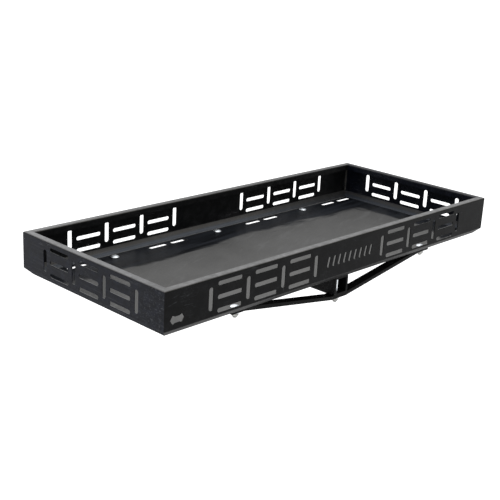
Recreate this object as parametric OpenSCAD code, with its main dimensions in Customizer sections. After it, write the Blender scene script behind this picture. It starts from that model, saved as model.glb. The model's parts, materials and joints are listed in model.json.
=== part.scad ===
// Hitch cargo carrier: a folded sheet-steel tray on a square hitch shank.
// Origin: centre of the hitch pin hole. +X runs along the tray, +Y points at
// the vehicle, +Z is up.

/* [Tray] */
// Outside length of the tray, along X
tray_l = 1220; // [1180:10:1400]
// Outside width of the tray, along Y
tray_w = 510; // [480:10:620]
// Height of the tray from the underside of its floor to the top of its rim
tray_h = 108; // [105:1:130]
// Thickness of the sheet steel
sheet = 2; // [1.5:0.5:3]
// Size of the 45 degree bevel between the floor and each wall
bevel = 17; // [14:1:20]
// Radius of every fold, measured at the middle of the sheet
fold_r = 2.5; // [2:0.5:4]
// Width of the flat flange along the top of each wall
rim_w = 20; // [18:1:24]
// Depth of the lip that turns down from the inner edge of the flange
lip_h = 17; // [8:1:18]

/* [Wall slots] */
// Distance between neighbouring upright slots of the long walls
long_pitch = 115.5; // [112:0.1:118]
// Distance between neighbouring upright slots of the short walls
short_pitch = 110.3; // [107:0.1:118]
// Distance from the tray's end to the first upright slot of the long walls
slot_inset = 134; // [125:0.5:145]
// Height of the middle of the slot pattern above the bevel
slot_mid_z = 42.3; // [42:0.1:45]
// Length of an upright slot
upright_l = 54; // [50:1:58]
// Width of an upright slot
upright_w = 13; // [10:0.5:16]
// Length of a level slot in the long walls
long_level_l = 75; // [60:1:78]
// Length of a level slot in the short walls
short_level_l = 71; // [60:1:74]
// Width of a level slot
level_w = 10; // [8:0.5:13]
// Distance between the rows of level slots
level_gap = 31.5; // [28:0.5:32]

/* [Front wall cut-outs] */
// Number of slanted bars in the plain cut-out in the middle
bar_count = 9; // [5:1:9]
// Distance between the slanted bars
bar_pitch = 20.5; // [18:0.5:21]
// Width of a slanted bar
bar_w = 8; // [5:1:9]
// Height of a slanted bar
bar_h = 27; // [20:1:32]
// Lean of the bars, sideways over their height
bar_lean = 6; // [0:1:8]
// Length of the small hole near the left end, from point to point
eye_l = 40; // [30:1:44]
// Height of the small hole at its corners
eye_w = 20.5; // [16:0.5:22]
// Height of the small hole at its middle
eye_waist = 14; // [8:0.5:16]
// Distance between the corners of the small hole
eye_shoulder = 27; // [18:0.5:30]
// Distance from the tray's left end to the middle of the small hole
eye_inset = 37.5; // [34:0.5:60]
// Height of the small hole's middle above the bevel
eye_z = 22; // [14:0.5:30]

/* [Floor] */
// Distance from the outside of a long wall to the row of bolts and slots
row_inset = 37.5; // [37:0.5:42]
// Length of a floor slot
floor_slot_l = 58; // [40:1:62]
// Width of a floor slot
floor_slot_w = 13; // [8:1:14]
// Distance between the two slots of a pair
floor_slot_pitch = 74.5; // [70:0.5:80]
// Distance from the middle of the tray to the inner pairs
inner_pair_x = 181; // [170:1:190]
// Distance from the middle of the tray to the outer pairs
outer_pair_x = 519; // [500:1:520]

/* [Shank] */
// Outside size of the square shank
shank_s = 50.8; // [50.5:0.1:51]
// Wall thickness of the shank
shank_wall = 6.35; // [4:0.05:6.5]
// Outside corner radius of the shank
shank_r = 6; // [4:1:8]
// Distance from the outside of the front wall to the shank's open front end
shank_front = 20; // [10:1:25]
// Distance from the rear wall to the middle of the hitch pin hole
reach = 66; // [64:1:260]
// Distance from the pin hole to the vehicle end of the shank
pin_to_end = 40; // [30:1:75]
// Diameter of the hitch pin hole
pin_hole_d = 16.3; // [16:0.1:17]

/* [Braces] */
// Width of a flat-bar brace, along Y
brace_w = 25; // [20:1:26]
// Thickness of a brace
brace_t = 9.5; // [6:0.5:10]
// Half of a brace's length, along X
brace_half = 383; // [378:1:390]
// Distance from the middle to where a brace's end tab begins
tab_x = 342; // [335:1:345]
// Half of the flat middle that passes under the shank
flat_half = 28; // [27:1:32]

/* [Bolts] */
// Distance from the middle of the tray to the outer bolts
bolt_x = 362.5; // [360:0.5:364]
// Shank diameter of the carriage bolts
bolt_d = 10; // [8:1:10]
// Diameter of a bolt's domed head
head_d = 22.5; // [18:0.5:23]
// Height of a bolt's domed head
head_h = 5; // [3:0.5:6]
// Diameter of a washer
washer_d = 20; // [18:1:20]
// Thickness of a washer
washer_t = 2; // [1:0.5:2.5]
// Size of a nut across its flats
nut_af = 16; // [15:1:17]
// Height of a nut
nut_h = 9; // [7:1:10]
// Length of thread that stands out below a nut
thread_out = 3; // [1:1:6]

/* [Hidden] */
// Facets of a full circle on small round features
fine = 48;
// Overrun of a cutting tool past the face it cuts
over = 5;
// Running gap round a bolt in its hole
bolt_gap = 0.5;
// Height of the underside of the tray's floor
floor_z = shank_s / 2;
// Outside faces of the rear and front walls
rear_y = -reach;
front_y = rear_y - tray_w;
// Middle of the tray along Y
mid_y = (rear_y + front_y) / 2;
// Width of the flat strip of each wall panel that joins the floor pan
apron = 22;
// Size of the block that trims a wall panel to its mitred ends
trim_z = tray_h + 2 * over;
// Rows of bolts
front_row_y = front_y + row_inset;
rear_row_y = rear_y - row_inset;
// Height of the wall's vertical face above the floor's underside
slot_z = bevel + slot_mid_z;
// Undersides that the washers bear on, below the floor
outer_seat = -brace_t;
centre_seat = -shank_s - brace_t;
// Radius of the small bead in each inside corner
weld_r = 4;

function heading(a) = [cos(a), sin(a)];

// Headings of the sheet from the floor, up the wall and back down the lip
HEADINGS = [180, 135, 90, 0, -90];
// Corners of the middle of the sheet, as distance from the outside and height
CORNERS = [
    [bevel + sheet * (sqrt(2) - 1) / 2, sheet / 2],
    [sheet / 2, bevel + sheet * (sqrt(2) - 1) / 2],
    [sheet / 2, tray_h - sheet / 2],
    [rim_w - sheet / 2, tray_h - sheet / 2]
];

// Points round one fold, side being +1 outside and -1 inside
function fold_points(k, side, steps) =
    let(
        turn = HEADINGS[k] - HEADINGS[k + 1],
        start = CORNERS[k] - fold_r * tan(turn / 2) * heading(HEADINGS[k]),
        centre = start + fold_r * heading(HEADINGS[k] - 90)
    )
    [
        for (i = [0:steps])
            centre + (fold_r + side * sheet / 2) * heading(HEADINGS[k] + 90 - turn * i / steps)
    ];

// All the points along one side of the folded sheet
function side_points(side) = [
    [apron, sheet / 2 - side * sheet / 2],
    for (k = [0:len(CORNERS) - 1])
        each fold_points(k, side, 6),
    [rim_w - sheet / 2 + side * sheet / 2, tray_h - lip_h]
];

function reversed(list) = [for (i = [len(list) - 1:-1:0]) list[i]];

// Section of one wall: apron, bevel, wall, top flange and lip
module wall_section() {
    polygon(concat(side_points(1), reversed(side_points(-1))));
}

// Slot with round ends, centred, long along X
module obround(length, width) {
    square([length - width, width], center = true);
    for (end = [-1, 1])
        translate([end * (length - width) / 2, 0])
            circle(d = width, $fn = fine);
}

// Four upright slots with three level slots in each space between them,
// centred, drawn in the plane of a wall
module slot_cluster(pitch, level_l) {
    for (i = [0:3])
        translate([(i - 1.5) * pitch, 0])
            rotate(90)
                obround(upright_l, upright_w);
    for (i = [-1:1], j = [-1:1])
        translate([i * pitch, j * level_gap])
            obround(level_l, level_w);
}

// Slanted bars with round ends in the middle of the front wall
module bar_row() {
    for (i = [0:bar_count - 1])
        translate([(i - (bar_count - 1) / 2) * bar_pitch, 0])
            rotate(90 - atan(bar_lean / bar_h))
                obround(bar_h, bar_w);
}

// Small hole with pointed ends and a waist, centred, drawn in the plane of a wall
module eye_hole() {
    x = eye_shoulder / 2;
    top = eye_w / 2;
    waist = eye_waist / 2;
    polygon([
        [eye_l / 2, 0],
        [x, top],
        [x / 2, waist],
        [-x / 2, waist],
        [-x, top],
        [-eye_l / 2, 0],
        [-x, -top],
        [-x / 2, -waist],
        [x / 2, -waist],
        [x, -top]
    ]);
}

// One wall panel of the given length, mitred at both ends, with its outside
// face on y = 0 and the cut-outs drawn by its children
module wall_panel(length) {
    difference() {
        intersection() {
            translate([-length / 2, 0, 0])
                rotate([90, 0, 90])
                    linear_extrude(length)
                        wall_section();
            translate([0, 0, -over])
                linear_extrude(trim_z)
                    polygon([
                        [-length / 2, 0],
                        [length / 2, 0],
                        [length / 2 - apron, apron],
                        [-length / 2 + apron, apron]
                    ]);
        }
        translate([0, sheet + 1, slot_z])
            rotate([90, 0, 0])
                linear_extrude(sheet + 2)
                    children();
    }
}

// Slot clusters near both ends of a long wall
module long_clusters() {
    for (end = [-1, 1])
        translate([end * (tray_l / 2 - slot_inset - 1.5 * long_pitch), 0])
            slot_cluster(long_pitch, long_level_l);
}

module floor_pan() {
    inner_l = tray_l - 2 * apron;
    inner_w = tray_w - 2 * apron;
    color("dimgray")
        difference() {
            translate([-inner_l / 2, mid_y - inner_w / 2, floor_z])
                cube([inner_l, inner_w, sheet]);
            for (pair = [inner_pair_x, outer_pair_x], end = [-1, 1], slot = [-1, 1])
                translate([end * pair + slot * floor_slot_pitch / 2, rear_row_y, floor_z - over])
                    linear_extrude(sheet + 2 * over)
                        obround(floor_slot_l, floor_slot_w);
            for (x = [-bolt_x, 0, bolt_x], y = [front_row_y, rear_row_y])
                translate([x, y, floor_z])
                    cube([bolt_d + bolt_gap, bolt_d + bolt_gap, 2 * sheet + over], center = true);
        }
}

module front_wall() {
    color("darkslategray")
        translate([0, front_y, floor_z])
            wall_panel(tray_l) {
                long_clusters();
                bar_row();
                translate([-tray_l / 2 + eye_inset, eye_z - slot_mid_z])
                    eye_hole();
            }
}

module rear_wall() {
    color("darkslategray")
        translate([0, rear_y, floor_z])
            rotate(180)
                wall_panel(tray_l)
                    long_clusters();
}

module left_wall() {
    color("darkslategray")
        translate([-tray_l / 2, mid_y, floor_z])
            rotate(-90)
                wall_panel(tray_w)
                    slot_cluster(short_pitch, short_level_l);
}

module right_wall() {
    color("darkslategray")
        translate([tray_l / 2, mid_y, floor_z])
            rotate(90)
                wall_panel(tray_w)
                    slot_cluster(short_pitch, short_level_l);
}

// Weld bead up one inside corner, at the corner given by signs of x and y
module corner_weld(sx, sy) {
    color("darkslategray")
        translate([sx * (tray_l / 2 - sheet), mid_y + sy * (tray_w / 2 - sheet), floor_z + bevel + sheet])
            intersection() {
                cylinder(r = weld_r, h = tray_h - bevel - 2 * sheet - fold_r, $fn = fine);
                translate([sx > 0 ? -2 * weld_r : 0, sy > 0 ? -2 * weld_r : 0, -over])
                    cube([2 * weld_r, 2 * weld_r, tray_h]);
            }
}

module weld_front_left() {
    corner_weld(-1, -1);
}

module weld_front_right() {
    corner_weld(1, -1);
}

module weld_rear_left() {
    corner_weld(-1, 1);
}

module weld_rear_right() {
    corner_weld(1, 1);
}

// Square with round corners, centred
module soft_square(size, radius) {
    square([size - 2 * radius, size], center = true);
    square([size, size - 2 * radius], center = true);
    for (x = [-1, 1], y = [-1, 1])
        translate([x * (size / 2 - radius), y * (size / 2 - radius)])
            circle(r = radius, $fn = fine);
}

module shank_tube() {
    length = tray_w + reach - shank_front + pin_to_end;
    inner_r = max(shank_r - shank_wall, 1.5);
    color("black")
        difference() {
            translate([0, pin_to_end, 0])
                rotate([90, 0, 0])
                    linear_extrude(length)
                        difference() {
                            soft_square(shank_s, shank_r);
                            soft_square(shank_s - 2 * shank_wall, inner_r);
                        }
            translate([-shank_s / 2 - over, 0, 0])
                rotate([0, 90, 0])
                    cylinder(d = pin_hole_d, h = shank_s + 2 * over, $fn = fine);
            for (y = [front_row_y, rear_row_y])
                translate([0, y, -shank_s / 2 - over])
                    cylinder(d = bolt_d + bolt_gap, h = shank_s + 2 * over, $fn = fine);
        }
}

// Shallow V of flat bar: end tabs against the floor, flat middle under the shank
module brace(y) {
    top_edge = [
        [-brace_half, 0],
        [-tab_x, 0],
        [-flat_half, -shank_s],
        [flat_half, -shank_s],
        [tab_x, 0],
        [brace_half, 0]
    ];
    bottom_edge = reversed([for (p = top_edge) p - [0, brace_t]]);
    color("black")
        translate([0, y, floor_z])
            difference() {
                translate([0, brace_w / 2, 0])
                    rotate([90, 0, 0])
                        linear_extrude(brace_w)
                            polygon(concat(top_edge, bottom_edge));
                for (x = [-bolt_x, 0, bolt_x])
                    translate([x, 0, -shank_s - brace_t - over])
                        cylinder(d = bolt_d + bolt_gap, h = shank_s + brace_t + 2 * over, $fn = fine);
            }
}

module front_brace() {
    brace(front_row_y);
}

module rear_brace() {
    brace(rear_row_y);
}

// Carriage bolt standing on the floor: domed head, square neck, round shank
module carriage_bolt(x, y, seat) {
    tip = seat - washer_t - nut_h - thread_out;
    head_r = head_d / 2;
    rim = 1;
    dome = head_h - rim;
    ball_r = (head_r * head_r + dome * dome) / (2 * dome);
    color("silver")
        translate([x, y, floor_z]) {
            translate([0, 0, sheet])
                rotate_extrude($fn = fine)
                    union() {
                        square([head_r, rim]);
                        intersection() {
                            translate([0, head_h - ball_r])
                                circle(r = ball_r, $fn = 2 * fine);
                            translate([0, rim])
                                square([head_r, dome]);
                        }
                    }
            translate([-bolt_d / 2, -bolt_d / 2, 0])
                cube([bolt_d, bolt_d, sheet]);
            translate([0, 0, tip])
                cylinder(d = bolt_d, h = -tip, $fn = fine);
        }
}

module front_outer_bolts() {
    for (x = [-bolt_x, bolt_x])
        carriage_bolt(x, front_row_y, outer_seat);
}

module front_centre_bolt() {
    carriage_bolt(0, front_row_y, centre_seat);
}

module rear_outer_bolts() {
    for (x = [-bolt_x, bolt_x])
        carriage_bolt(x, rear_row_y, outer_seat);
}

module rear_centre_bolt() {
    carriage_bolt(0, rear_row_y, centre_seat);
}

// Bolt places along one row: distance along X and the seat of the washer
SEATS = [[-bolt_x, outer_seat], [0, centre_seat], [bolt_x, outer_seat]];

module washer_row(y) {
    color("silver")
        for (s = SEATS)
            translate([s[0], y, floor_z + s[1] - washer_t])
                difference() {
                    cylinder(d = washer_d, h = washer_t, $fn = fine);
                    translate([0, 0, -over])
                        cylinder(d = bolt_d + bolt_gap, h = washer_t + 2 * over, $fn = fine);
                }
}

module front_washers() {
    washer_row(front_row_y);
}

module rear_washers() {
    washer_row(rear_row_y);
}

module nut_row(y) {
    color("silver")
        for (s = SEATS)
            translate([s[0], y, floor_z + s[1] - washer_t - nut_h])
                difference() {
                    cylinder(d = nut_af / cos(30), h = nut_h, $fn = 6);
                    translate([0, 0, -over])
                        cylinder(d = bolt_d + bolt_gap / 5, h = nut_h + 2 * over, $fn = fine);
                }
}

module front_nuts() {
    nut_row(front_row_y);
}

module rear_nuts() {
    nut_row(rear_row_y);
}

floor_pan();
front_wall();
rear_wall();
left_wall();
right_wall();
weld_front_left();
weld_front_right();
weld_rear_left();
weld_rear_right();
shank_tube();
front_brace();
rear_brace();
front_outer_bolts();
front_centre_bolt();
rear_outer_bolts();
rear_centre_bolt();
front_washers();
rear_washers();
front_nuts();
rear_nuts();
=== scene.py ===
"""Looks for the hitch cargo carrier: black powder-coated tray, zinc bolts, pale studio."""

import json
import math

import bmesh
import bpy
from mathutils import Matrix, Vector


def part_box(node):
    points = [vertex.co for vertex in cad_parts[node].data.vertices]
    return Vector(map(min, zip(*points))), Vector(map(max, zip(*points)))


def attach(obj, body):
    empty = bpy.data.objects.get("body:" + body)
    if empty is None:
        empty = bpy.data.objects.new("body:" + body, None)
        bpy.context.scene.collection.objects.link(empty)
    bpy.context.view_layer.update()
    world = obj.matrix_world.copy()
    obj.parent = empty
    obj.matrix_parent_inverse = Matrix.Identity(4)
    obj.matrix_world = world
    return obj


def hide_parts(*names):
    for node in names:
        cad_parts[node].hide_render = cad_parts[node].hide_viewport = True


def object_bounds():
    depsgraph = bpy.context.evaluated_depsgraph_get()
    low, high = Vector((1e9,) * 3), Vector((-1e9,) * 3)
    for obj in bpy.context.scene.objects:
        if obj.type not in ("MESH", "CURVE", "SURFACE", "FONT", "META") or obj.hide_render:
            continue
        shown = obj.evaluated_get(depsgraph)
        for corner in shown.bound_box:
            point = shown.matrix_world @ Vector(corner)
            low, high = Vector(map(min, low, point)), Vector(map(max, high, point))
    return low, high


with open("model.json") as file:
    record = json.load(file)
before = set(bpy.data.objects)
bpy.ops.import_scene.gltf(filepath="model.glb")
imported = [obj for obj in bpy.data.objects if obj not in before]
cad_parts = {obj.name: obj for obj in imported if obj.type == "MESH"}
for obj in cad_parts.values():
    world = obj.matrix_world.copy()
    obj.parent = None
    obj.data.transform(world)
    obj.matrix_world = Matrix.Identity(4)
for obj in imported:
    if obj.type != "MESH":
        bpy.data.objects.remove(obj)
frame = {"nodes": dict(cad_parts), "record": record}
cad_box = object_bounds()
nodes = frame["nodes"]

# Places that everything is measured from, in metres
tray_low, tray_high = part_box("front_wall")
FRONT_Y = tray_low.y
REAR_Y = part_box("rear_wall")[1].y
FLOOR_UNDER = tray_low.z
FLOOR_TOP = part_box("floor_pan")[1].z
TRAY_HALF = tray_high.x
BEVEL_HEIGHT = 0.017

# ---------------------------------------------------------------- camera
# The camera looks down on the tray from its front left. The step to it starts at the tray's
# front left bottom corner.
CAMERA_STEP = Vector((-1.2722, -1.4328, 0.8465))
HEADING = math.radians(46.68)
DOWN_TILT = math.radians(18.49)
ROLL = math.radians(3.04)
SENSOR_MM = 36.0
LENS_MM = 72.1

forward = Vector((
    math.sin(HEADING) * math.cos(DOWN_TILT),
    math.cos(HEADING) * math.cos(DOWN_TILT),
    -math.sin(DOWN_TILT),
))
level_right = forward.cross(Vector((0, 0, 1))).normalized()
level_up = level_right.cross(forward)
right = math.cos(ROLL) * level_right + math.sin(ROLL) * level_up
up = math.cos(ROLL) * level_up - math.sin(ROLL) * level_right

camera_data = bpy.data.cameras.new("camera")
camera_data.lens = LENS_MM
camera_data.sensor_width = SENSOR_MM
camera = bpy.data.objects.new("camera", camera_data)
camera_at = Vector((-TRAY_HALF, FRONT_Y, FLOOR_UNDER)) + CAMERA_STEP
axes = Matrix((right, up, -forward)).transposed()
camera.matrix_world = Matrix.Translation(camera_at) @ axes.to_4x4()
bpy.context.scene.collection.objects.link(camera)
bpy.context.scene.camera = camera


# ---------------------------------------------------------------- node helpers
class Graph:
    """Short ways to build a material's node tree."""

    def __init__(self, name):
        self.material = bpy.data.materials.new(name)
        self.material.use_nodes = True
        self.tree = self.material.node_tree
        self.tree.nodes.clear()
        self.output = self.add("ShaderNodeOutputMaterial")
        self.shader = self.add("ShaderNodeBsdfPrincipled")
        self.link(self.shader.outputs["BSDF"], self.output.inputs["Surface"])

    def add(self, kind, **settings):
        node = self.tree.nodes.new(kind)
        for key, value in settings.items():
            setattr(node, key, value)
        return node

    def link(self, source, target):
        self.tree.links.new(source, target)

    def set(self, socket, value):
        """Gives one of the shader's sockets a constant."""
        self.shader.inputs[socket].default_value = value

    def feed(self, source, socket):
        """Lets an output drive one of the shader's sockets."""
        self.link(source, self.shader.inputs[socket])

    def place(self):
        """Place on the object, in metres in the frame that all pieces share."""
        return self.add("ShaderNodeTexCoord").outputs["Object"]

    def upward(self):
        """How far the surface faces up, from -1 to 1."""
        return self.split(self.add("ShaderNodeNewGeometry").outputs["True Normal"])["Z"]

    def split(self, vector):
        """The X, Y and Z of a vector, as outputs by name."""
        node = self.add("ShaderNodeSeparateXYZ")
        self.link(vector, node.inputs[0])
        return node.outputs

    def noise(self, where, scale, detail=2.0, rough=0.5, warp=0.0):
        """Cloudy noise, from 0 to 1 and mostly near 0.5. scale is in cycles per unit of where."""
        node = self.add("ShaderNodeTexNoise")
        self.link(where, node.inputs["Vector"])
        node.inputs["Scale"].default_value = scale
        node.inputs["Detail"].default_value = detail
        node.inputs["Roughness"].default_value = rough
        node.inputs["Distortion"].default_value = warp
        return node.outputs["Fac"]

    def stretch(self, where, factors, tilt=(0, 0, 0), shift=(0, 0, 0)):
        """Place seen from a turned and shifted frame whose units are factors long."""
        node = self.add("ShaderNodeMapping", vector_type="TEXTURE")
        self.link(where, node.inputs["Vector"])
        node.inputs["Location"].default_value = shift
        node.inputs["Rotation"].default_value = tilt
        node.inputs["Scale"].default_value = factors
        return node.outputs["Vector"]

    def ramp(self, value, low, high, out_low=0.0, out_high=1.0):
        """Smooth step from out_low at low to out_high at high."""
        node = self.add("ShaderNodeMapRange", interpolation_type="SMOOTHSTEP")
        self.link(value, node.inputs["Value"])
        node.inputs["From Min"].default_value = low
        node.inputs["From Max"].default_value = high
        node.inputs["To Min"].default_value = out_low
        node.inputs["To Max"].default_value = out_high
        return node.outputs["Result"]

    def math(self, operation, first, second=0.0):
        node = self.add("ShaderNodeMath", operation=operation)
        for slot, value in enumerate((first, second)):
            if isinstance(value, (int, float)):
                node.inputs[slot].default_value = value
            else:
                self.link(value, node.inputs[slot])
        return node.outputs["Value"]

    def times(self, first, second):
        return self.math("MULTIPLY", first, second)

    def mix(self, factor, first, second):
        """Colour between first and second. Each is an RGB tuple or an output."""
        node = self.add("ShaderNodeMix", data_type="RGBA")
        self.link(factor, node.inputs["Factor"])
        for socket, value in (("A", first), ("B", second)):
            target = [i for i in node.inputs if i.name == socket and i.type == "RGBA"][0]
            if isinstance(value, tuple):
                target.default_value = (*value, 1.0)
            else:
                self.link(value, target)
        return [o for o in node.outputs if o.type == "RGBA"][0]

    def bump(self, height, strength, distance, under=None):
        """Bump from a height. under is the normal of a coarser bump below it."""
        node = self.add("ShaderNodeBump")
        node.inputs["Strength"].default_value = strength
        node.inputs["Distance"].default_value = distance
        self.link(height, node.inputs["Height"])
        if under is not None:
            self.link(under, node.inputs["Normal"])
        return node.outputs["Normal"]


# ---------------------------------------------------------------- materials
BLACK = (0.0030, 0.0031, 0.0033)
# Painted light: a lighter black for the rear wall, whose inner face is lit from above
REAR_LIT_BLACK = (0.0052, 0.0053, 0.0056)
BLUE_BLACK = (0.0034, 0.0041, 0.0070)
# Painted shade: a darker black for the shank, the braces and the floor's underside, which lie under
# the tray
UNDER_TRAY_SHADED_BLACK = (0.0022, 0.0022, 0.0023)
# Weld beads: coat black made lighter and warm, partly a painted highlight on the beads
WELD_LIT_BLACK = (0.020, 0.019, 0.017)
SCUFF = (0.11, 0.115, 0.125)
DUST_AND_SHEEN = (0.72, 0.72, 0.725)
# Dust and painted highlight on the bevels: bluish low down and warm near the wall
LEDGE_DUST_AND_HIGHLIGHT = ((0.56, 0.64, 0.76), (0.68, 0.65, 0.60))
# Cargo area of the floor: two tones of painted sheen, grit and smears over it, and the
# brighter band of painted sheen near the front wall
FLOOR_SHEEN_TONES = ((0.080, 0.080, 0.079), (0.100, 0.100, 0.099))
GRIT_ON_FLOOR_SHEEN = (0.130, 0.130, 0.128)
SMEAR_ON_FLOOR_SHEEN = (0.145, 0.147, 0.148)
FLOOR_SHEEN_BRIGHTEST = (0.165, 0.164, 0.161)
FLOOR_SCRATCH = (0.10, 0.10, 0.10)
# Glossy margin of the floor: painted reflection of the dark walls, in dark and light stripes
WALL_REFLECTION_STRIPES = ((0.0050, 0.0057, 0.0072), (0.0165, 0.0190, 0.0240))
# Bright zinc of the bolt heads, and the dulled zinc of threads and nuts, also darkened as painted
# shade under the tray
ZINC = ((0.80, 0.85, 0.90), (0.93, 0.96, 0.98))
ZINC_DULL_AND_SHADED = ((0.11, 0.11, 0.105), (0.40, 0.40, 0.385))
# Orange peel of the powder coat, and how deep it is in metres
PEEL_SCALE = 640.0
PEEL_DEPTH = 0.0003


def scratches(g, where, along, tilt, length=0.16, width=0.0016):
    """Fine scratches, long along one axis ("x" or "y"), in loose groups."""
    size = {"x": (length, width, width), "y": (width, length, width)}[along]
    line = g.noise(g.stretch(where, size, tilt), 1.0, 1.0, 0.4)
    group = g.noise(where, 11.0, 2.0, 0.6)
    return g.times(g.ramp(line, 0.66, 0.74), g.ramp(group, 0.5, 0.66))


def bevel_dust_and_highlight(g, where, along, ledge, fade):
    """Amount and colour of the dust and painted highlight on the sloped bevels. ledge is how much
    lies there, of which the share fade is left towards the right-hand end."""
    place = g.split(where)
    upward = g.upward()
    slope = g.times(g.ramp(upward, 0.3, 0.6), g.ramp(upward, 0.85, 0.97, 1.0, 0.0))
    low = g.ramp(place["Z"], FLOOR_TOP, FLOOR_TOP + BEVEL_HEIGHT, 1.25 * ledge, 0.75 * ledge)
    low = g.times(low, g.ramp(place["X"], 0.0, 0.85 * TRAY_HALF, 1.0, fade))
    line_size = {"x": (0.5, 0.003, 0.003), "y": (0.003, 0.5, 0.003)}[along]
    lines = g.noise(g.stretch(where, line_size), 1.0, 2.0)
    low = g.times(low, g.ramp(lines, 0.3, 0.7, 0.82, 1.18))
    hue = g.mix(g.ramp(place["Z"], FLOOR_TOP + 0.005, FLOOR_TOP + 0.010), *LEDGE_DUST_AND_HIGHLIGHT)
    return g.times(slope, low), hue


def powder_coat(name, base, gloss, along, dust_and_sheen, ior, ledge=0.0, fade=1.0,
                worn=None, marked=0.55, under=0.45):
    """Black powder coat: orange peel, cloudy gloss, scratches, and dust with painted sheen on level
    faces.
    gloss is about its roughness and along is the direction that it is scratched in.
    The dust amount is how much dust and painted sheen lies on level faces; ledge and fade are those
    of the bevels' dust and painted highlight.
    worn(g, where) may add marks of its own, as a value from 0 to 1.
    marked is how much of the scratches shows in the colour.
    under is the least roughness of faces that look down."""
    g = Graph(name)
    where = g.place()
    cloud = g.noise(where, 7.0, 4.0, 0.62, 0.5)
    mottle = g.noise(where, 46.0, 4.0, 0.7, 0.3)
    speck = g.noise(where, 420.0, 2.0, 0.6)
    marks = g.math(
        "MAXIMUM",
        scratches(g, where, along, (0.02, 0.03, 0.04)),
        scratches(g, where, along, (0.30, 0.28, 0.24), 0.06, 0.0012),
    )
    tone = g.mix(g.ramp(mottle, 0.38, 0.72), base, tuple(2.2 * c for c in base))
    tone = g.mix(g.times(marks, marked), tone, SCUFF)
    if worn:
        tone = g.mix(worn(g, where), tone, SCUFF)
    chips = g.times(g.ramp(speck, 0.74, 0.80), g.ramp(cloud, 0.55, 0.7))
    tone = g.mix(g.times(chips, 0.5), tone, SCUFF)
    # Dust and painted sheen on faces that look up, in patches
    settled_dust_and_sheen = g.times(g.ramp(g.upward(), 0.6, 1.0, 0.0, dust_and_sheen), g.ramp(mottle, 0.2, 0.8, 0.7, 1.3))
    tone = g.mix(settled_dust_and_sheen, tone, DUST_AND_SHEEN)
    # Dust and painted highlight along the sloped bevels
    if ledge:
        amount, hue = bevel_dust_and_highlight(g, where, along, ledge, fade)
        tone = g.mix(amount, tone, hue)
    g.feed(tone, "Base Color")
    rough = g.ramp(cloud, 0.32, 0.7, gloss - 0.04, gloss + 0.08)
    rough = g.math("ADD", rough, g.ramp(mottle, 0.4, 0.75, 0.0, 0.08))
    rough = g.math("ADD", rough, g.times(marks, 0.15))
    below = g.ramp(g.upward(), -0.5, -0.2, under, 0.0)
    g.feed(g.math("MAXIMUM", rough, below), "Roughness")
    g.set("IOR", ior)
    peel = g.noise(where, PEEL_SCALE, 2.0, 0.5)
    g.feed(g.bump(peel, 0.22, PEEL_DEPTH), "Normal")
    return g.material


# The cargo area is painted with sheen. A glossy margin along the rear and right walls is painted
# with the dark walls' reflection.
REFLECTION_MARGIN = 0.124
REFLECTION_EDGE_SOFT = 0.012
# How far the margin's edge wanders, and how much narrower it is along the right wall
WANDER_REAR = 0.026
WANDER_RIGHT = 0.022
RIGHT_NARROWER = 0.035
# The right-hand margin widens by this much over the last stretch to the front wall
FRONT_WIDENS = 0.09
FRONT_STRETCH = 0.14
# How far from the front wall the brighter band of painted sheen reaches
BRIGHT_SHEEN_BAND = 0.28


def floor_sheen_area(g, where):
    """1 where the floor is painted with sheen and 0 on the glossy margin, which is painted with the
    walls' reflection.
    """
    place = g.split(where)
    wander_x = g.noise(g.stretch(where, (0.22, 0.05, 0.05)), 1.0, 3.0, 0.55, 0.4)
    wander_y = g.noise(g.stretch(where, (0.05, 0.18, 0.05)), 1.0, 2.0, 0.5, 0.2)
    to_rear = g.math("SUBTRACT", REAR_Y, place["Y"])
    to_rear = g.math("ADD", to_rear, g.ramp(wander_x, 0.2, 0.8, -WANDER_REAR, WANDER_REAR))
    to_right = g.math("SUBTRACT", TRAY_HALF + RIGHT_NARROWER, place["X"])
    to_right = g.math("ADD", to_right, g.ramp(wander_y, 0.2, 0.8, -WANDER_RIGHT, WANDER_RIGHT))
    widening = g.ramp(place["Y"], FRONT_Y, FRONT_Y + FRONT_STRETCH, FRONT_WIDENS, 0.0)
    to_right = g.math("SUBTRACT", to_right, widening)
    edge = g.math("MINIMUM", to_rear, to_right)
    return g.ramp(edge, REFLECTION_MARGIN - REFLECTION_EDGE_SOFT, REFLECTION_MARGIN + REFLECTION_EDGE_SOFT)


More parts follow.
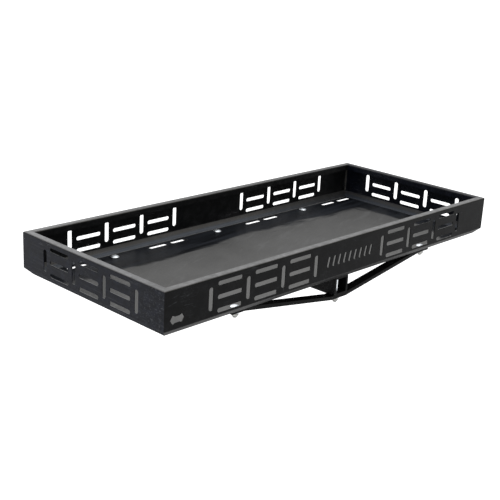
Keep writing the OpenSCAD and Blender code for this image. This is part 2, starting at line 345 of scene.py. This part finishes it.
def painted_sheen_floor():
    """Floor coat: painted sheen with grit and smears over the cargo area, and a painted streaky
    reflection of the dark walls on the glossy margin.
    """
    g = Graph("black_coat_floor")
    where = g.place()
    sheen_share = floor_sheen_area(g, where)
    cloud = g.noise(where, 9.0, 4.0, 0.6, 0.3)
    grit = g.noise(where, 300.0, 3.0, 0.7)
    marks = scratches(g, where, "x", (0.0, 0.0, 0.05), 0.2, 0.0022)
    sheen_tone = g.mix(g.ramp(cloud, 0.3, 0.7), *FLOOR_SHEEN_TONES)
    sheen_tone = g.mix(g.ramp(grit, 0.45, 0.75, 0.0, 0.5), sheen_tone, GRIT_ON_FLOOR_SHEEN)
    smear = g.noise(g.stretch(where, (0.09, 0.018, 0.05), (0.0, 0.0, 0.35)), 1.0, 4.0, 0.65, 0.4)
    sheen_tone = g.mix(g.ramp(smear, 0.5, 0.75, 0.0, 0.45), sheen_tone, SMEAR_ON_FLOOR_SHEEN)
    behind_bright_sheen = g.ramp(g.split(where)["Y"], FRONT_Y, FRONT_Y + BRIGHT_SHEEN_BAND)
    sheen_tone = g.mix(behind_bright_sheen, FLOOR_SHEEN_BRIGHTEST, sheen_tone)
    stripes = g.noise(g.stretch(where, (0.22, 0.014, 0.05), (0.0, 0.0, 0.10)), 1.0, 3.0, 0.6, 0.5)
    reflection_tone = g.mix(g.ramp(stripes, 0.35, 0.68), *WALL_REFLECTION_STRIPES)
    # Painted light: sheen on the cargo area, and the dark walls' reflection on the glossy margin
    tone = g.mix(sheen_share, reflection_tone, sheen_tone)
    tone = g.mix(g.times(marks, 0.25), tone, FLOOR_SCRATCH)
    # Painted shade: faces that look down take the darker under-tray black
    tone = g.mix(g.ramp(g.upward(), -0.3, 0.3), UNDER_TRAY_SHADED_BLACK, tone)
    g.feed(tone, "Base Color")
    shiny = g.ramp(stripes, 0.3, 0.7, 0.36, 0.48)
    rough = g.add("ShaderNodeMix", data_type="FLOAT")
    g.link(sheen_share, rough.inputs["Factor"])
    g.link(shiny, rough.inputs["A"])
    g.link(g.ramp(cloud, 0.3, 0.75, 0.44, 0.52), rough.inputs["B"])
    g.feed(rough.outputs["Result"], "Roughness")
    g.set("IOR", 1.20)
    sag = g.bump(g.noise(g.stretch(where, (0.3, 0.09, 0.3)), 1.0, 1.0, 0.4), 0.25, 0.004)
    g.feed(g.bump(g.noise(where, PEEL_SCALE, 2.0, 0.5), 0.2, PEEL_DEPTH, sag), "Normal")
    return g.material


def zinc_plate(name, tones, gloss):
    """Zinc plate: light metal with a fine grain and cloudy shine. tones are its dark and light."""
    g = Graph(name)
    where = g.place()
    cloud = g.noise(where, 160.0, 3.0, 0.6)
    grain = g.noise(where, 1400.0, 2.0, 0.6)
    g.feed(g.mix(g.ramp(cloud, 0.35, 0.7), *tones), "Base Color")
    g.set("Metallic", 1.0)
    g.feed(g.ramp(cloud, 0.3, 0.7, gloss, gloss + 0.15), "Roughness")
    g.feed(g.bump(grain, 0.2, 0.0002), "Normal")
    return g.material


def on_front(from_left, height):
    """Place on the front wall's face, from its left end and from the tray's underside."""
    return Vector((-TRAY_HALF + from_left, FRONT_Y, FLOOR_UNDER + height))


def streak(g, where, start, end, width):
    """A soft, broken line of wear between two places on the front wall's outside."""
    run = end - start
    turn = run.to_track_quat("X", "Z").to_euler()
    local = g.split(g.stretch(where, (1, 1, 1), turn, start))
    line = g.ramp(g.math("ABSOLUTE", local["Z"]), 0.0, width, 1.0, 0.0)
    ends = g.times(
        g.ramp(local["X"], 0.0, 0.012),
        g.ramp(local["X"], run.length - 0.02, run.length, 1.0, 0.0),
    )
    near = g.ramp(g.math("ABSOLUTE", local["Y"]), 0.004, 0.006, 1.0, 0.0)
    broken = g.ramp(g.noise(where, 90.0, 3.0, 0.7), 0.35, 0.6)
    return g.times(g.times(line, ends), g.times(near, broken))


def front_wear(g, where):
    """Two faint rubs near the left end of the front wall, and a nick below a slot."""
    long_rub = streak(g, where, on_front(0.006, 0.0721), on_front(0.084, 0.0891), 0.0020)
    short_rub = streak(g, where, on_front(0.018, 0.0876), on_front(0.045, 0.0936), 0.0016)
    rubs = g.times(g.math("MAXIMUM", long_rub, short_rub), 0.20)
    nick = streak(g, where, on_front(0.3660, 0.0346), on_front(0.3695, 0.0186), 0.0016)
    return g.math("MAXIMUM", rubs, g.times(nick, 0.9))


def corner_wear(g, where):
    """Wear on the left wall's outside: pits and blots near its front end, and fine
    hair scratches and grain all over, stronger low down."""
    place = g.split(where)
    end = g.ramp(place["Y"], FRONT_Y + 0.02, FRONT_Y + 0.17, 1.0, 0.0)
    outside = g.ramp(place["X"], -TRAY_HALF + 0.001, -TRAY_HALF + 0.003, 1.0, 0.0)
    pits = g.ramp(g.noise(where, 260.0, 3.0, 0.65), 0.62, 0.74)
    blots = g.ramp(g.noise(g.stretch(where, (1, 1, 0.5)), 95.0, 3.0, 0.7, 0.6), 0.54, 0.70)
    spots = g.math("MAXIMUM", g.times(pits, 0.6), g.times(blots, 0.30))
    fine = g.noise(g.stretch(where, (1, 0.11, 0.0022), (0.035, 0.0, 0.0)), 1.0, 3.0, 0.6)
    group = g.ramp(g.noise(where, 16.0, 3.0, 0.7), 0.35, 0.65)
    hair = g.times(g.ramp(fine, 0.50, 0.74), group)
    grain = g.ramp(g.noise(where, 150.0, 4.0, 0.75), 0.45, 0.75)
    all_over = g.math("ADD", g.times(hair, 0.22), g.times(grain, 0.055))
    lower = g.ramp(place["Z"], FLOOR_TOP + 0.02, FLOOR_TOP + 0.07, 1.35, 0.55)
    all_over = g.times(all_over, lower)
    return g.times(outside, g.math("MAXIMUM", all_over, g.times(end, spots)))


# A low IOR keeps the upright faces dark under the bright studio. The amounts of dust and painted
# sheen on level faces differ by wall: the near front and left rims are painted brighter than the far
# right one.
coat_front = powder_coat("black_coat_front", BLACK, 0.34, "x", dust_and_sheen=0.265, ior=1.13,
                         ledge=0.10, worn=front_wear, marked=0.22)
coat_rear = powder_coat("black_coat_rear", REAR_LIT_BLACK, 0.32, "x", dust_and_sheen=0.155, ior=1.18,
                        ledge=0.105, fade=0.12)
coat_left = powder_coat("black_coat_left", BLUE_BLACK, 0.32, "y", dust_and_sheen=0.22, ior=1.168,
                        ledge=0.10, worn=corner_wear, under=0.9)
coat_right = powder_coat("black_coat_right", BLUE_BLACK, 0.32, "y", dust_and_sheen=0.030, ior=1.22,
                         ledge=0.05)
coat_floor = painted_sheen_floor()
coat_weld = powder_coat("black_coat_weld", WELD_LIT_BLACK, 0.26, "x", dust_and_sheen=0.0, ior=1.40)
# The shank and braces take the darker black of painted shade
coat_bar = powder_coat("black_coat_bar", UNDER_TRAY_SHADED_BLACK, 0.36, "x", dust_and_sheen=0.0, ior=1.12)
zinc = zinc_plate("zinc_plate", ZINC, 0.34)
# Duller zinc, darker too as painted shade, for the nuts and threads under the floor
zinc_dull_shaded = zinc_plate("zinc_plate_dull_shaded", ZINC_DULL_AND_SHADED, 0.24)

FINISH = {
    "floor_pan": coat_floor,
    "front_wall": coat_front,
    "rear_wall": coat_rear,
    "left_wall": coat_left,
    "right_wall": coat_right,
    "shank_tube": coat_bar,
    "front_brace": coat_bar,
    "rear_brace": coat_bar,
}
slot_of = {row["node"]: row["material_slot"] for row in frame["record"]["subparts"]}
for name, piece in nodes.items():
    piece.data.materials.clear()
    plain = zinc if slot_of[name] == "zinc" else coat_front
    piece.data.materials.append(FINISH.get(name, plain))


# ---------------------------------------------------------------- mesh pieces
SMOOTH_BELOW = math.radians(35)


def circle(radius):
    """Outline of a lathe ring: the same radius at every angle."""
    return lambda angle: radius


def hexagon(across_flats, cap):
    """Outline of a hexagon with a corner on the X axis, cut to the radius cap."""
    sixth = math.pi / 3

    def radius(angle):
        turn = (angle + sixth / 2) % sixth - sixth / 2
        full = across_flats / 2 / math.cos(turn - math.copysign(sixth / 2, turn))
        return min(full, cap)

    return radius


def lathe(bm, rings, turns, centre):
    """Joins rings of points into a skin and returns their points. Each ring is an
    outline, as a function from angle to radius, and a height. The caller closes the ends."""
    grid = []
    for outline, height in rings:
        row = []
        for k in range(turns):
            angle = 2 * math.pi * k / turns
            radius = outline(angle)
            point = Vector((radius * math.cos(angle), radius * math.sin(angle), height))
            row.append(bm.verts.new(centre + point))
        grid.append(row)
    for lower, upper in zip(grid, grid[1:]):
        for k in range(turns):
            after = (k + 1) % turns
            bm.faces.new((lower[k], lower[after], upper[after], upper[k]))
    return grid


def finish_piece(bm, name, materials):
    """Turns the built mesh into a piece that rides on the carrier."""
    bmesh.ops.recalc_face_normals(bm, faces=bm.faces)
    mesh = bpy.data.meshes.new(name)
    bm.to_mesh(mesh)
    bm.free()
    for material in materials:
        mesh.materials.append(material)
    mesh.shade_smooth()
    mesh.set_sharp_from_angle(angle=SMOOTH_BELOW)
    piece = bpy.data.objects.new(name, mesh)
    bpy.context.scene.collection.objects.link(piece)
    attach(piece, "root")
    return piece


BOLT_R = 0.005
BOLT_TURNS = 36
HEAD_R = 0.01125
HEAD_RIM = 0.001
DOME_STEPS = 10
THREAD_PITCH = 0.0015
THREAD_DEPTH = 0.0006
THREAD_LENGTH = 0.026
RINGS_PER_PITCH = 6
TIP_CHAMFER = 0.0012
THREAD_RUNOUT = 0.002
NUT_AF = 0.016
NUT_H = 0.009
NUT_TURNS = 72
NUT_BORE_GAP = 0.00002
COLLAR_H = 0.0026
COLLAR_R = 0.0072
# Thread faces take the second of a bolt's two materials
THREAD_MATERIAL = 1


def lock_nut(bm, centre):
    """Hex nut with chamfered corners and a round collar below, its top at the centre point."""
    across = NUT_AF / 2
    corner = across / math.cos(math.pi / 6)
    bore = circle(BOLT_R + NUT_BORE_GAP)
    shoulder = -NUT_H + COLLAR_H
    rings = [
        (bore, 0.0),
        (hexagon(NUT_AF, across * 0.98), 0.0),
        (hexagon(NUT_AF, corner * 0.97), -0.0006),
        (hexagon(NUT_AF, corner), -0.0011),
        (hexagon(NUT_AF, corner), shoulder + 0.0013),
        (hexagon(NUT_AF, corner * 0.97), shoulder + 0.0008),
        (hexagon(NUT_AF, across * 0.99), shoulder),
        (circle(COLLAR_R), shoulder),
        (circle(COLLAR_R), -NUT_H + 0.0009),
        (circle(COLLAR_R - 0.0003), -NUT_H + 0.0003),
        (circle(COLLAR_R - 0.0010), -NUT_H),
        (bore, -NUT_H),
    ]
    grid = lathe(bm, rings, NUT_TURNS, centre)
    for k in range(NUT_TURNS):
        after = (k + 1) % NUT_TURNS
        bm.faces.new((grid[-1][k], grid[-1][after], grid[0][after], grid[0][k]))


def thread(height, low, top):
    """Outline of a bolt's thread at one height. It runs out at the top, and its tip is chamfered."""
    fade = max(0.0, min(1.0, (height - low) / TIP_CHAMFER, (top - height) / THREAD_RUNOUT))
    tip = max(0.0, TIP_CHAMFER - (height - low)) * 0.8

    def radius(angle):
        phase = (height / THREAD_PITCH - angle / (2 * math.pi)) % 1.0
        cut = THREAD_DEPTH * (1 - abs(2 * phase - 1))
        return BOLT_R - cut * fade - tip

    return radius


def threaded_bolt(bm, centre, low, high, top):
    """Carriage bolt: a dome on the floor, and a round shank with a thread towards its tip.
    centre is on the bolt's axis; low, high and top are the tip's, floor's and dome's heights."""
    dome = top - high - HEAD_RIM
    ball = (HEAD_R ** 2 + dome ** 2) / (2 * dome)
    rings = []
    for step in range(1, DOME_STEPS + 1):
        reach = HEAD_R * step / DOME_STEPS
        rings.append((circle(reach), top - ball + math.sqrt(ball ** 2 - reach ** 2)))
    rings.append((circle(HEAD_R - 0.0001), high + 0.0003))
    rings.append((circle(HEAD_R - 0.0005), high))
    rings.append((circle(BOLT_R), high))
    thread_top = low + THREAD_LENGTH
    rings.append((circle(BOLT_R), thread_top))
    steps = int((thread_top - low) / THREAD_PITCH * RINGS_PER_PITCH)
    for step in range(steps, -1, -1):
        height = low + step * THREAD_PITCH / RINGS_PER_PITCH
        rings.append((thread(height, low, thread_top), height))
    grid = lathe(bm, rings, BOLT_TURNS, centre)
    bm.faces.new(grid[0])
    bm.faces.new(list(reversed(grid[-1])))
    for face in bm.faces:
        if face.calc_center_median().z < thread_top:
            face.material_index = THREAD_MATERIAL


WELD_R = 0.004
WELD_RIPPLE = 0.0028
ROWS_PER_RIPPLE = 5
WELD_ARC = 7
WELD_DROOP = 0.0012


def weld_bead(bm, corner, sx, sy, low, high):
    """Rippled fillet up an inside corner. sx and sy say which way the corner points."""
    steps = int((high - low) / WELD_RIPPLE) * ROWS_PER_RIPPLE
    rows = []
    for step in range(steps + 1):
        ripples = step / ROWS_PER_RIPPLE
        wave = ripples % 1.0 if step < steps else 0.99
        swell = 0.80 + 0.20 * math.sqrt(1 - (2 * wave - 1) ** 2)
        sway = 1 + 0.05 * math.sin(2.3 * ripples) + 0.04 * math.sin(0.7 * ripples + 1.0)
        height = low + (high - low) * step / steps
        row = [bm.verts.new((corner.x, corner.y, height))]
        for k in range(WELD_ARC + 1):
            angle = math.pi / 2 * k / WELD_ARC
            middle_share = math.sin(2 * angle)
            reach = WELD_R * min(1.0, swell * sway * (1 - 0.22 * middle_share))
            row.append(bm.verts.new((
                corner.x - sx * reach * math.cos(angle),
                corner.y - sy * reach * math.sin(angle),
                max(low, height - WELD_DROOP * middle_share),
            )))
        rows.append(row)
    across = WELD_ARC + 2
    for lower, upper in zip(rows, rows[1:]):
        for k in range(across):
            after = (k + 1) % across
            bm.faces.new((lower[k], lower[after], upper[after], upper[k]))
    bm.faces.new(rows[0])
    bm.faces.new(rows[-1])


def row_fasteners(row):
    """Nuts and carriage bolts of one brace, in place of its plain ones."""
    nut_low, nut_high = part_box(row + "_nuts")
    outer_low, outer_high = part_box(row + "_outer_bolts")
    centre_low, centre_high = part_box(row + "_centre_bolt")
    mid_y = (nut_low.y + nut_high.y) / 2
    bolt_x = outer_high.x - HEAD_R
    outer_top = nut_high.z
    centre_top = nut_low.z + NUT_H

    bm = bmesh.new()
    for x, z in ((-bolt_x, outer_top), (0.0, centre_top), (bolt_x, outer_top)):
        lock_nut(bm, Vector((x, mid_y, z)))
    nuts = finish_piece(bm, row + "_lock_nuts", [zinc_dull_shaded])
    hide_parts(row + "_nuts")

    bm = bmesh.new()
    for x in (-bolt_x, bolt_x):
        threaded_bolt(bm, Vector((x, mid_y, 0)), outer_low.z, FLOOR_TOP, outer_high.z)
    bolts = finish_piece(bm, row + "_outer_carriage_bolts", [zinc, zinc_dull_shaded])
    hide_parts(row + "_outer_bolts")

    bm = bmesh.new()
    threaded_bolt(bm, Vector((0, mid_y, 0)), centre_low.z, FLOOR_TOP, centre_high.z)
    bolt = finish_piece(bm, row + "_centre_carriage_bolt", [zinc, zinc_dull_shaded])
    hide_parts(row + "_centre_bolt")


def corner_bead(row, side, sx, sy):
    """Weld bead of one inside corner, in place of its plain one."""
    node = f"weld_{row}_{side}"
    low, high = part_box(node)
    corner = Vector((high.x if sx > 0 else low.x, high.y if sy > 0 else low.y, 0))
    bm = bmesh.new()
    weld_bead(bm, corner, sx, sy, low.z, high.z)
    bead = finish_piece(bm, f"bead_{row}_{side}", [coat_weld])
    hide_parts(node)


for row in ("front", "rear"):
    row_fasteners(row)

for side, sx in (("left", -1), ("right", 1)):
    for row, sy in (("front", -1), ("rear", 1)):
        corner_bead(row, side, sx, sy)

# ---------------------------------------------------------------- studio
# The floor lies far below, because the carrier hangs from its shank in use
FLOOR_DROP = 4.0
STUDIO_HALF = 60.0

floor_z = cad_box[0].z - FLOOR_DROP
floor_mesh = bpy.data.meshes.new("studio_floor")
bm = bmesh.new()
bm.faces.new([
    bm.verts.new((x * STUDIO_HALF, y * STUDIO_HALF, floor_z))
    for x, y in ((-1, -1), (1, -1), (1, 1), (-1, 1))
])
bm.to_mesh(floor_mesh)
bm.free()
studio_floor = bpy.data.objects.new("studio_floor", floor_mesh)
bpy.context.scene.collection.objects.link(studio_floor)
pale = Graph("pale_floor")
pale_noise = pale.noise(pale.place(), 1.5, 2.0)
pale.feed(pale.mix(pale_noise, (0.90, 0.90, 0.90), (0.93, 0.93, 0.93)), "Base Color")
pale.set("Roughness", 0.9)
pale.set("Specular IOR Level", 0.0)
pale.set("Emission Color", (1.0, 1.0, 1.0, 1.0))
pale.set("Emission Strength", 0.60)
floor_mesh.materials.append(pale.material)

world = bpy.data.worlds.new("studio_world")
world.use_nodes = True
tree = world.node_tree
sky_split = tree.nodes.new("ShaderNodeSeparateXYZ")
tree.links.new(tree.nodes.new("ShaderNodeTexCoord").outputs["Generated"], sky_split.inputs[0])


def sky_band(low, high, out_low, out_high):
    """Brightness that goes from out_low to out_high between two heights of the sky."""
    node = tree.nodes.new("ShaderNodeMapRange")
    sockets = ("From Min", "From Max", "To Min", "To Max")
    for socket, value in zip(sockets, (low, high, out_low, out_high)):
        node.inputs[socket].default_value = value
    tree.links.new(sky_split.outputs["Z"], node.inputs["Value"])
    return node.outputs["Result"]


# Brighter overhead, with a pale haze at the horizon where the floor ends
glow = tree.nodes.new("ShaderNodeMath")
tree.links.new(sky_band(0.0, 0.9, 0.42, 1.05), glow.inputs[0])
tree.links.new(sky_band(0.10, 0.22, 0.60, 0.0), glow.inputs[1])
background = tree.nodes["Background"]
tree.links.new(glow.outputs[0], background.inputs["Strength"])
background.inputs["Color"].default_value = (1.0, 1.0, 1.0, 1.0)
bpy.context.scene.world = world
bpy.context.scene.view_settings.view_transform = "Standard"


def softbox(name, at, target, size, power):
    """Rectangular lamp that faces the target."""
    data = bpy.data.lights.new(name, "AREA")
    data.shape = "RECTANGLE"
    data.size, data.size_y = size
    data.energy = power
    lamp = bpy.data.objects.new(name, data)
    lamp.location = at
    lamp.rotation_euler = (target - at).to_track_quat("-Z", "Y").to_euler()
    bpy.context.scene.collection.objects.link(lamp)


middle = Vector((0, (FRONT_Y + REAR_Y) / 2, FLOOR_TOP))
# A broad lamp high behind the tray and one above it give the level faces their sheen
softbox("back_light", middle + Vector((0.4, 3.0, 1.6)), middle, (3.0, 1.6), 22.0)
softbox("top_light", middle + Vector((0.2, 0.3, 2.6)), middle, (2.2, 1.4), 14.0)
